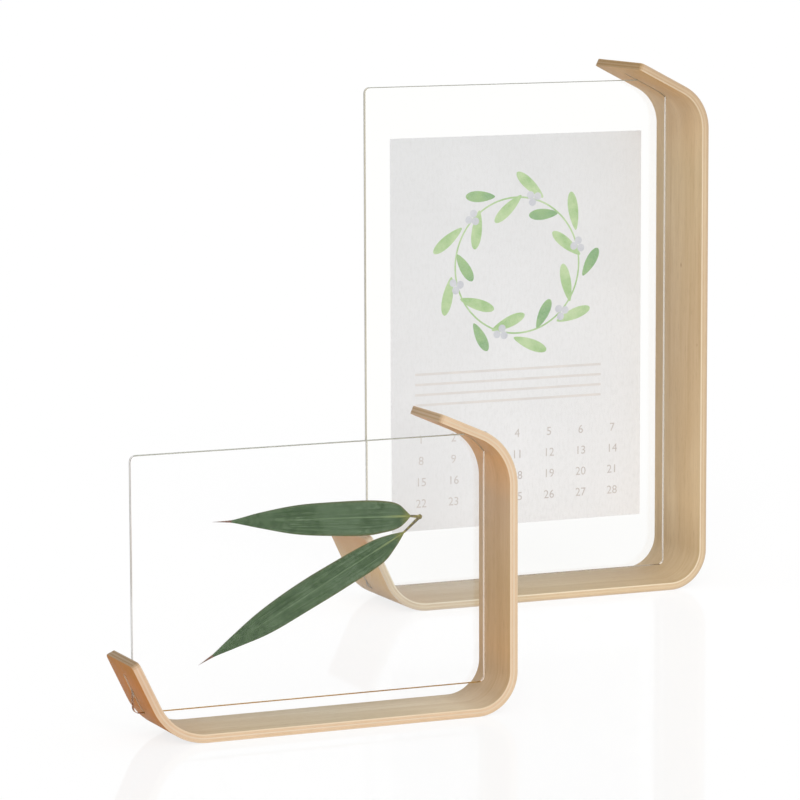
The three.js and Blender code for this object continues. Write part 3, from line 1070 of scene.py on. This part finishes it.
def paper_piece(paper, material):
    """The plain sheet under the inks."""
    low, high = paper.low, paper.high
    centre = Vector(((low.x + high.x) / 2, high.y - PAPER_THICKNESS / 2, (low.z + high.z) / 2))
    size = Matrix.Diagonal((high.x - low.x, PAPER_THICKNESS, high.z - low.z, 1.0))
    bm = bmesh.new()
    bmesh.ops.create_cube(bm, size=1.0, matrix=Matrix.Translation(centre) @ size)
    bmesh.ops.subdivide_edges(bm, edges=bm.edges[:], cuts=3, use_grid_fill=True)
    piece = mesh_object("printed_sheet", bm, material)
    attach(piece, "print_tall")
    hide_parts("tall_print")


def ink_piece(name, bm):
    """One printed piece, in its own ink."""
    outward(bm)
    ink, pale, deep = INKS[name]
    piece = mesh_object(name, bm, ink_material(ink, srgb(*pale), srgb(*deep)))
    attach(piece, "print_tall")


def oval_leaf(paper, bm, centre, angle, length, layers):
    """A printed leaf, pinched in towards its base."""
    verts = circle(bm, segments=28, radius=1.0)
    for vert in verts:
        share = (vert.co.x + 1.0) / 2.0
        pinch = 1.0 - LEAF_PINCH * (1.0 - share) ** 2
        vert.co = Vector((vert.co.x * length / 2, vert.co.y * LEAF_WIDTH / 2 * pinch, 0.0))
    paper.film(bm, verts, layers, centre, angle)


def on_wreath(angle, radius):
    """A place on the paper at an angle and a distance from the wreath's centre."""
    return WREATH_CENTRE + direction(angle) * radius


def printed_wreath(paper):
    """The leaves, the stem and the berries."""
    pale_leaves, deep_leaves, berries = bmesh.new(), bmesh.new(), bmesh.new()
    for index in range(WREATH_LEAVES):
        angle = 360.0 * index / WREATH_LEAVES
        side = OUTER_LEAF if index % 2 == 0 else INNER_LEAF
        spot = on_wreath(angle, WREATH_RADIUS + side["offset"])
        tilt = angle + 90.0 + side["tilt"]
        if index % 3:
            oval_leaf(paper, pale_leaves, spot, tilt, LEAF_LENGTH, layers=2)
        else:
            oval_leaf(paper, deep_leaves, spot, tilt, LEAF_LENGTH * SHORT_LEAF, layers=3)
    ring = circle(pale_leaves, segments=96, radius=WREATH_RADIUS, cap_ends=False)
    edges = list({edge for vert in ring for edge in vert.link_edges})
    widened = bmesh.ops.extrude_edge_only(pale_leaves, edges=edges)
    inner = [item for item in widened["geom"] if isinstance(item, bmesh.types.BMVert)]
    shrink = (WREATH_RADIUS - WREATH_STEM) / WREATH_RADIUS
    bmesh.ops.scale(pale_leaves, vec=(shrink, shrink, 1.0), verts=inner)
    paper.film(pale_leaves, ring + inner, layers=1, centre=WREATH_CENTRE)
    for index in range(BERRY_CLUSTERS):
        angle = 360.0 * (index + 0.25) / BERRY_CLUSTERS
        for layers, (step, offset) in enumerate(BERRIES, start=4):
            verts = circle(berries, segments=20, radius=BERRY_RADIUS)
            paper.film(berries, verts, layers, on_wreath(angle + step, WREATH_RADIUS + offset))
    ink_piece("printed_pale_leaves", pale_leaves)
    ink_piece("printed_deep_leaves", deep_leaves)
    ink_piece("printed_berries", berries)


def number_mesh(number):
    """A plain printed number as a thin closed mesh, centred on its own origin."""
    curve = bpy.data.curves.new("plain_number", "FONT")
    curve.body = str(number)
    curve.size = NUMBER_SIZE
    curve.align_x = "CENTER"
    curve.extrude = 1.0
    curve.resolution_u = 3
    holder = new_object("plain_number", curve)
    depsgraph = bpy.context.evaluated_depsgraph_get()
    made = bpy.data.meshes.new_from_object(holder.evaluated_get(depsgraph))
    bpy.data.objects.remove(holder)
    return made


def printed_numbers(paper):
    """The block of numbers and the ruled lines above it."""
    numbers, rules = bmesh.new(), bmesh.new()
    for index in range(NUMBER_ROWS * NUMBER_COLUMNS):
        row, column = divmod(index, NUMBER_COLUMNS)
        known = len(numbers.verts)
        numbers.from_mesh(number_mesh(index + 1))
        numbers.verts.ensure_lookup_table()
        verts = numbers.verts[known:]
        for vert in verts:
            vert.co.z = NUMBER_LAYERS * INK_LAYER if vert.co.z > 0 else -INK_SINK
        left, bottom = NUMBER_START
        across, down = NUMBER_PITCH
        paper.lay(verts, (left + column * across, bottom - row * down))
    bmesh.ops.remove_doubles(numbers, verts=numbers.verts[:], dist=INK_SINK / 4)
    rule_start, rule_end = RULE_SPAN
    for height in RULE_ROWS:
        verts = bmesh.ops.create_grid(rules, x_segments=1, y_segments=1, size=0.5)["verts"]
        bmesh.ops.scale(rules, vec=(rule_end - rule_start, RULE_HEIGHT, 1.0), verts=verts)
        paper.film(rules, verts, NUMBER_LAYERS, ((rule_start + rule_end) / 2, height))
    ink_piece("printed_numbers", numbers)
    ink_piece("printed_rules", rules)


# Floor, light and camera

FLOOR_SIZE = 40.0
FLOOR_WHITE = (0.9, 0.9, 0.9, 1.0)
FLOOR_SHADOW_SHARE = (0.18, 0.18, 0.18, 1.0)
FLOOR_GLOW = 0.88
FLOOR_MIRROR = 0.09
FLOOR_MIRROR_ROUGHNESS = 0.05
ROOM_WHITE = (1.0, 1.0, 1.0, 1.0)
ROOM_LIGHT = 0.5


def directly_seen(shader):
    """1 where the camera sees the surface directly, in a gloss or through clear acrylic, else 0."""
    rays = shader.node("ShaderNodeLightPath").outputs
    sharp = shader.math("MAXIMUM", rays["Is Glossy Ray"], rays["Is Transmission Ray"])
    seen = shader.math("MAXIMUM", rays["Is Camera Ray"], sharp)
    return shader.math("MULTIPLY", seen, shader.math("LESS_THAN", rays["Diffuse Depth"], 0.5))


def floor_material():
    """White table top that keeps a faint shadow and a faint mirror image."""
    made = bpy.data.materials.new("white_table")
    shader = Shader(cleared(made))
    seen = directly_seen(shader)
    diffuse = shader.node("ShaderNodeBsdfDiffuse")
    shader.fill(diffuse, Color=shader.mix(seen, FLOOR_WHITE, FLOOR_SHADOW_SHARE))
    glow = shader.node("ShaderNodeEmission")
    shader.fill(glow, Strength=shader.math("MULTIPLY", seen, FLOOR_GLOW))
    lit = shader.node("ShaderNodeAddShader")
    shader.feed(lit.inputs[0], diffuse.outputs[0])
    shader.feed(lit.inputs[1], glow.outputs[0])
    glossy = shader.fill(shader.node("ShaderNodeBsdfGlossy"), Roughness=FLOOR_MIRROR_ROUGHNESS)
    mirrored = shader.mixed_shaders(FLOOR_MIRROR, lit, glossy)
    shader.fill(shader.node("ShaderNodeOutputMaterial"), Surface=mirrored.outputs[0])
    return made


def build_floor():
    """A table top that reaches past the camera's view."""
    bm = bmesh.new()
    bmesh.ops.create_grid(bm, x_segments=1, y_segments=1, size=FLOOR_SIZE)
    floor = mesh_object("table_top", bm, floor_material())


def build_world():
    """An even white room, white itself where the camera sees it."""
    world = bpy.data.worlds.new("white_room")
    bpy.context.scene.world = world
    shader = Shader(cleared(world))
    background = shader.node("ShaderNodeBackground")
    strength = shader.level(directly_seen(shader), 0.0, 1.0, low_out=ROOM_LIGHT, high_out=1.0)
    shader.fill(background, Color=ROOM_WHITE, Strength=strength)
    shader.fill(shader.node("ShaderNodeOutputWorld"), Surface=background.outputs[0])


def soft_light(name, come_from, angle, strength):
    """A far, wide softbox, from a direction, with its width as an angle in degrees."""
    light = bpy.data.lights.new(name, "SUN")
    light.angle = math.radians(angle)
    light.energy = strength
    made = new_object(name, light)
    made.location = come_from
    made.rotation_euler = Vector(come_from).to_track_quat("Z", "Y").to_euler()


def build_camera():
    """The camera that took the photograph."""
    yaw = Matrix.Rotation(math.radians(-CAMERA_YAW), 4, "Z")
    pitch = Matrix.Rotation(math.radians(90.0 - CAMERA_PITCH), 4, "X")
    roll = Matrix.Rotation(math.radians(CAMERA_ROLL), 4, "Z")
    camera_data = bpy.data.cameras.new("photo_camera")
    camera_data.sensor_width = SENSOR_WIDTH
    camera_data.lens = CAMERA_FOCAL_PIXELS * SENSOR_WIDTH / PHOTO_SIDE
    camera_data.clip_end = CAMERA_REACH
    camera = new_object("photo_camera", camera_data)
    camera.matrix_world = Matrix.Translation(CAMERA_PLACE) @ yaw @ pitch @ roll
    bpy.context.scene.camera = camera


def build_strip(sizes, acrylic):
    """One frame's five veneers and two acrylic sheets."""
    strip = Strip(sizes)
    edges = {part: srgb(*colour) for part, colour in SAWN_EDGES[strip.name].items()}
    upright = strip.pieces[UPRIGHT]
    knots = [
        ((upright.start + height - upright.anchor.y, across, 0.0), radius)
        for height, across, radius in sizes["pin_knots"]
    ]
    cross_wood = cross_grain_wood(
        f"{strip.name}_cross_veneer", strip, edges["cross_pale"], edges["cross_deep"],
    )
    for ply in PLY_NAMES:
        if "cross" in ply:
            wood = cross_wood
        else:
            face = "outer" if ply == "outer_ply" else "inner"
            marks = knots if ply == "inner_ply" else ()
            wood = long_grain_wood(
                f"{strip.name}_{ply}_veneer", strip, FACE_TONES_AND_PAINTED_LIGHT[strip.name][face], edges[ply],
                FACE_GLOSS[face], marks,
            )
        veneer(strip, ply, wood)
    for side in ("front", "back"):
        sheet_piece(strip, side, acrylic)
    return strip


build_camera()
bpy.context.scene.view_settings.view_transform = "Standard"
build_world()
build_floor()
soft_light("front_softbox", come_from=(-0.7, -2.3, 1.4), angle=45.0, strength=1.8)

acrylic = acrylic_material()
small_strip = build_strip(SMALL, acrylic)
build_strip(TALL, acrylic)
leaf_green = leaf_material()
for leaf in (UPPER_LEAF, LOWER_LEAF):
    leaf_piece(small_strip, leaf, leaf_green)
twig_piece(small_strip, twig_material())
paper = Paper()
paper_piece(paper, paper_material())
printed_wreath(paper)
printed_numbers(paper)
